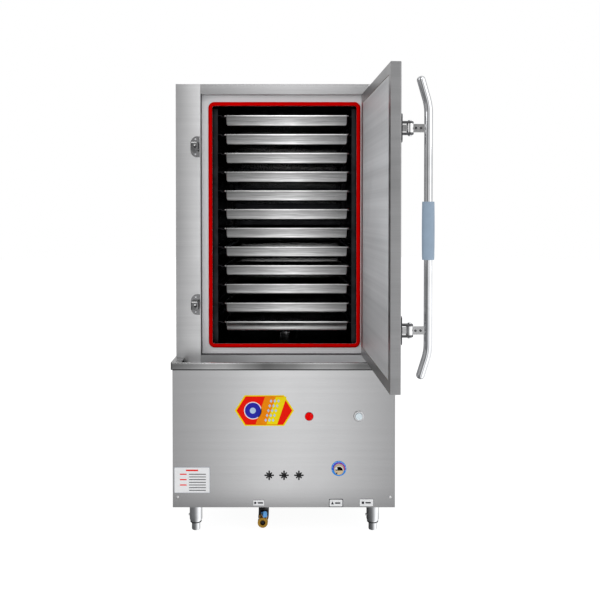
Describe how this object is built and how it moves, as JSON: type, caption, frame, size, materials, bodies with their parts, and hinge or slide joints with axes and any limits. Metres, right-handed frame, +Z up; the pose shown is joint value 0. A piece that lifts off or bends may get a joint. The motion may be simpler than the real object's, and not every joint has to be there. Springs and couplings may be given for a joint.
{
  "type": "gas rice steamer cabinet",
  "caption": "Upright gas steamer: a shallow base with a steam generator carries an insulated cabinet with sliding trays and a hinged door with a long latching handle bar.",
  "frame": {"origin": "on the floor, midway between the four feet", "axes": "+Z up, +X to the right seen from the front, +Y towards the back"},
  "size_m": [0.7019, 1.2894, 1.3573],
  "materials": {
    "brushed_stainless": "brushed stainless sheet",
    "bright_stainless": "smooth stainless",
    "tray_stainless": "pressed stainless",
    "polished_steel": "polished",
    "frame_steel": "galvanised steel",
    "burner_iron": "cast",
    "valve_brass": "machined brass",
    "pipe_steel": "galvanised pipe",
    "red_silicone": "glossy silicone",
    "insulation_foam": "mineral wool",
    "grip_blue": "satin",
    "black_hose": "black",
    "lever_blue": "dipped blue",
    "lamp_red": "clear red lens",
    "dial_face": "printed dial",
    "knob_cream": "cream plastic",
    "button_metal": "plated",
    "float_plastic": "moulded"
  },
  "bodies": {
    "cabinet": {"left_side_panel": "brushed_stainless", "right_side_panel": "brushed_stainless", "top_panel": "brushed_stainless", "lower_rail": "brushed_stainless", "rear_panel": "brushed_stainless", "door_surround": "bright_stainless", "door_seal": "red_silicone", "cavity_liner": "bright_stainless", "insulation": "insulation_foam", "tray_rack_left": "bright_stainless", "tray_rack_right": "bright_stainless", "latch_keepers": "bright_stainless", "hinge_frame_leaves": "bright_stainless", "base_deck": "brushed_stainless", "base_rim": "brushed_stainless", "base_front_panel": "brushed_stainless", "base_side_panels": "brushed_stainless", "base_rear_panel": "brushed_stainless", "base_frame": "frame_steel", "leg_tubes": "polished_steel", "levelling_feet": "polished_steel", "fasteners": "bright_stainless", "water_tank": "bright_stainless", "steam_riser": "bright_stainless", "firebox": "frame_steel", "burner": "burner_iron", "gas_valve": "valve_brass", "supply_pipes": "pipe_steel", "float_chamber": "bright_stainless", "flue_duct": "brushed_stainless", "dial_ring": "dial_face", "button_bezel": "button_metal", "pilot_lamp": "lamp_red", "drain_valve": "valve_brass", "drain_pipe": "black_hose"},
    "door": {"door_outer_skin": "brushed_stainless", "door_inner_pan": "bright_stainless", "door_core": "insulation_foam", "hinge_door_leaves": "bright_stainless", "pivot_pins": "bright_stainless", "latch_housings": "bright_stainless"},
    "handle": {"latch_levers": "bright_stainless", "handle_bar": "polished_steel", "handle_grip": "grip_blue"},
    "gas_knob_body": {"gas_knob": "knob_cream"},
    "push_button_body": {"push_button": "button_metal"},
    "drain_handle_body": {"drain_handle": "lever_blue"},
    "float_body": {"float_arm": "float_plastic"},
    "tray_01_body": {"tray_01": "tray_stainless"},
    "tray_02_body": {"tray_02": "tray_stainless"},
    "tray_03_body": {"tray_03": "tray_stainless"},
    "tray_04_body": {"tray_04": "tray_stainless"},
    "tray_05_body": {"tray_05": "tray_stainless"},
    "tray_06_body": {"tray_06": "tray_stainless"},
    "tray_07_body": {"tray_07": "tray_stainless"},
    "tray_08_body": {"tray_08": "tray_stainless"},
    "tray_09_body": {"tray_09": "tray_stainless"},
    "tray_10_body": {"tray_10": "tray_stainless"},
    "tray_11_body": {"tray_11": "tray_stainless"},
    "tray_12_body": {"tray_12": "tray_stainless"}
  },
  "joints": [
    {"name": "door_hinge", "type": "hinge", "parent": "cabinet", "child": "door", "pos_m": [0.2604, -0.306, 0.9275], "axis": [0, 0, 1], "range_deg": [-93.15, 75]},
    {"name": "handle_swing", "type": "hinge", "parent": "door", "child": "handle", "pos_m": [0.30823, -0.80753, 0.9269], "axis": [0, 0, 1], "range_deg": [0, 78]},
    {"name": "gas_knob_turn", "type": "hinge", "parent": "cabinet", "child": "gas_knob_body", "pos_m": [0.163, -0.3854, 0.209], "axis": [0, 1, 0], "range_deg": [0, 240]},
    {"name": "button_press", "type": "slide", "parent": "cabinet", "child": "push_button_body", "axis": [0, 1, 0], "range_m": [0, 0.003], "stiffness_N_per_m": 800, "springref_m": -0.001},
    {"name": "drain_handle_turn", "type": "hinge", "parent": "cabinet", "child": "drain_handle_body", "pos_m": [-0.0645, -0.317, 0.0514], "axis": [0, 0, 1], "range_deg": [-14, 76]},
    {"name": "float_swing", "type": "hinge", "parent": "cabinet", "child": "float_body", "pos_m": [0.2773, -0.01, 0.4092], "axis": [-1, 0, 0], "range_deg": [0, 30]},
    {"name": "tray_01_slide", "type": "slide", "parent": "cabinet", "child": "tray_01_body", "axis": [0, -1, 0], "range_m": [0, 0.7]},
    {"name": "tray_02_slide", "type": "slide", "parent": "cabinet", "child": "tray_02_body", "axis": [0, -1, 0], "range_m": [0, 0.7]},
    {"name": "tray_03_slide", "type": "slide", "parent": "cabinet", "child": "tray_03_body", "axis": [0, -1, 0], "range_m": [0, 0.7]},
    {"name": "tray_04_slide", "type": "slide", "parent": "cabinet", "child": "tray_04_body", "axis": [0, -1, 0], "range_m": [0, 0.7]},
    {"name": "tray_05_slide", "type": "slide", "parent": "cabinet", "child": "tray_05_body", "axis": [0, -1, 0], "range_m": [0, 0.7]},
    {"name": "tray_06_slide", "type": "slide", "parent": "cabinet", "child": "tray_06_body", "axis": [0, -1, 0], "range_m": [0, 0.7]},
    {"name": "tray_07_slide", "type": "slide", "parent": "cabinet", "child": "tray_07_body", "axis": [0, -1, 0], "range_m": [0, 0.7]},
    {"name": "tray_08_slide", "type": "slide", "parent": "cabinet", "child": "tray_08_body", "axis": [0, -1, 0], "range_m": [0, 0.7]},
    {"name": "tray_09_slide", "type": "slide", "parent": "cabinet", "child": "tray_09_body", "axis": [0, -1, 0], "range_m": [0, 0.7]},
    {"name": "tray_10_slide", "type": "slide", "parent": "cabinet", "child": "tray_10_body", "axis": [0, -1, 0], "range_m": [0, 0.7]},
    {"name": "tray_11_slide", "type": "slide", "parent": "cabinet", "child": "tray_11_body", "axis": [0, -1, 0], "range_m": [0, 0.7]},
    {"name": "tray_12_slide", "type": "slide", "parent": "cabinet", "child": "tray_12_body", "axis": [0, -1, 0], "range_m": [0, 0.7]}
  ]
}
